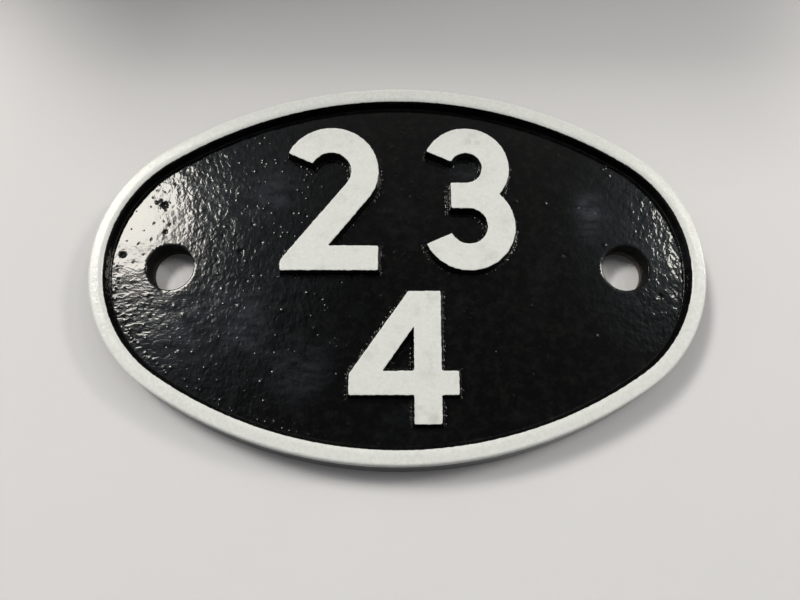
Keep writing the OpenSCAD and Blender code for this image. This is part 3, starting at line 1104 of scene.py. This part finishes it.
def build_camera(stage):
    lens = bpy.data.cameras.new("camera")
    lens.lens = stage.lens
    lens.sensor_width = 36.0
    lens.clip_start = 0.01
    made = placed("camera", lens)
    made.location = stage.camera_at
    made.rotation_euler = (stage.camera_pitch, stage.camera_roll, stage.camera_turn)
    bpy.context.scene.camera = made


# the ways up, to the large panel with its glow and to the glow at the right
UP, TO_PANEL, TO_RIGHT_GLOW = (0.0, 0.0, 1.0), (-0.402, 0.33, 0.8541), (0.438, 0.329, 0.837)
# where each part of the room's light starts and where it is full: the walls by the way up, what lies behind
# the dark front by Y, the glows by the ways to them, and the windows by the square of X
WALLS, BEHIND_FRONT = (0.97, 0.77), (-0.7, -0.1)
WIDE_GLOW, NEAR_GLOW, RIGHT_GLOW, WINDOWS = (0.92, 0.99), (0.984, 0.9942), (0.975, 1.0), (0.6, 1.0)
# the halo's share of red, green and blue
HALO_TINT = (1.0, 0.97, 0.93)


def build_room(stage):
    """A room with a dark front, whose walls are lighter than what hangs straight above the plate."""
    world = bpy.data.worlds.new("room")
    shader = Shader(world)
    direction = shader.node("ShaderNodeTexCoord", output="Generated")
    walls = shader.ramp(shader.towards(direction, UP), *WALLS)
    behind = shader.ramp(shader.part(direction, "Y"), *BEHIND_FRONT)
    room = shader.mix(rgba(stage.front), rgba(stage.room), behind)
    light = shader.mix(rgba(stage.overhead), room, walls)
    left = shader.towards(direction, TO_PANEL)
    right = shader.ramp(shader.towards(direction, TO_RIGHT_GLOW), *RIGHT_GLOW)
    wide, near = shader.ramp(left, *WIDE_GLOW), shader.ramp(left, *NEAR_GLOW)
    across = shader.part(direction, "X")
    sides = shader.ramp(across * across, *WINDOWS)
    light = shader.mix(light, rgba(stage.glow), wide * wide * 0.4 + right * right * 0.8)
    light = shader.mix(light, rgba(stage.windows), sides)
    light = shader.mix(light, rgba(stage.halo * part for part in HALO_TINT), near * near)
    shader.fill(shader.tree.nodes["Background"], {"Color": light})
    bpy.context.scene.world = world
    bpy.context.scene.view_settings.view_transform = "Standard"


class SHEDPLATE_OT_back_plate(bpy.types.Operator):
    """Build the oval plate with its sunk field and two fixing holes."""

    bl_idname = "shedplate.back_plate"
    bl_label = "Back Plate"

    def execute(self, context):
        scene = context.scene
        finish = scene.shedplate_finish
        build_back_plate(scene.shedplate_sizes, [black_material(finish), bore_material(finish)])
        return {"FINISHED"}


class SHEDPLATE_OT_border_rim(bpy.types.Operator):
    """Build the raised rim with its painted face and rounded shoulder."""

    bl_idname = "shedplate.border_rim"
    bl_label = "Border Rim"

    def execute(self, context):
        scene = context.scene
        material = two_colour_material("rim_paint", scene.shedplate_finish, *RIM_WHITE)
        build_border_rim(scene.shedplate_sizes, material)
        return {"FINISHED"}


class SHEDPLATE_OT_numerals(bpy.types.Operator):
    """Build the three raised numerals."""

    bl_idname = "shedplate.numerals"
    bl_label = "Numerals"

    def execute(self, context):
        scene = context.scene
        material = two_colour_material("numeral_paint", scene.shedplate_finish, *NUMERAL_WHITE)
        wanted = [
            ("raised_two", "upper_left_numeral", two_outline),
            ("raised_three", "upper_right_numeral", three_outline),
            ("raised_four", "lower_numeral", four_outline),
        ]
        for name, node, outline in wanted:
            build_numeral(name, node, outline, scene.shedplate_sizes, scene.shedplate_numerals, material)
        return {"FINISHED"}


class SHEDPLATE_OT_stage(bpy.types.Operator):
    """Build the floor, the lights, the shade card, the dim room and the camera."""

    bl_idname = "shedplate.stage"
    bl_label = "Stage"

    def execute(self, context):
        scene = context.scene
        stage = scene.shedplate_stage
        build_floor(stage, floor_material(scene.shedplate_finish))
        for name in PANELS:
            build_panel(name, stage)
        build_shade(stage, card_material())
        build_room(stage)
        build_camera(stage)
        return {"FINISHED"}


class SHEDPLATE_PT_panel(bpy.types.Panel):
    """Lists the pieces of the shed plate."""

    bl_idname = "SHEDPLATE_PT_panel"
    bl_label = "Shed Plate"
    bl_space_type = "VIEW_3D"
    bl_region_type = "UI"
    bl_category = "Shed Plate"

    def draw(self, context):
        column = self.layout.column()
        for operator in OPERATORS:
            column.operator(operator.bl_idname)


OPERATORS = (SHEDPLATE_OT_stage, SHEDPLATE_OT_back_plate, SHEDPLATE_OT_border_rim, SHEDPLATE_OT_numerals)
GROUPS = {
    "shedplate_sizes": PlateSizes,
    "shedplate_numerals": NumeralSizes,
    "shedplate_finish": PaintFinish,
    "shedplate_stage": StageSizes,
}


def register():
    for group in GROUPS.values():
        bpy.utils.register_class(group)
    for name, group in GROUPS.items():
        setattr(bpy.types.Scene, name, PointerProperty(type=group))
    for cls in (*OPERATORS, SHEDPLATE_PT_panel):
        bpy.utils.register_class(cls)


def unregister():
    for cls in (SHEDPLATE_PT_panel, *reversed(OPERATORS)):
        bpy.utils.unregister_class(cls)
    for name in GROUPS:
        delattr(bpy.types.Scene, name)
    for group in reversed(GROUPS.values()):
        bpy.utils.unregister_class(group)


def main():
    register()
    bpy.ops.shedplate.stage()
    bpy.ops.shedplate.back_plate()
    bpy.ops.shedplate.border_rim()
    bpy.ops.shedplate.numerals()


if __name__ == "__main__":
    main()
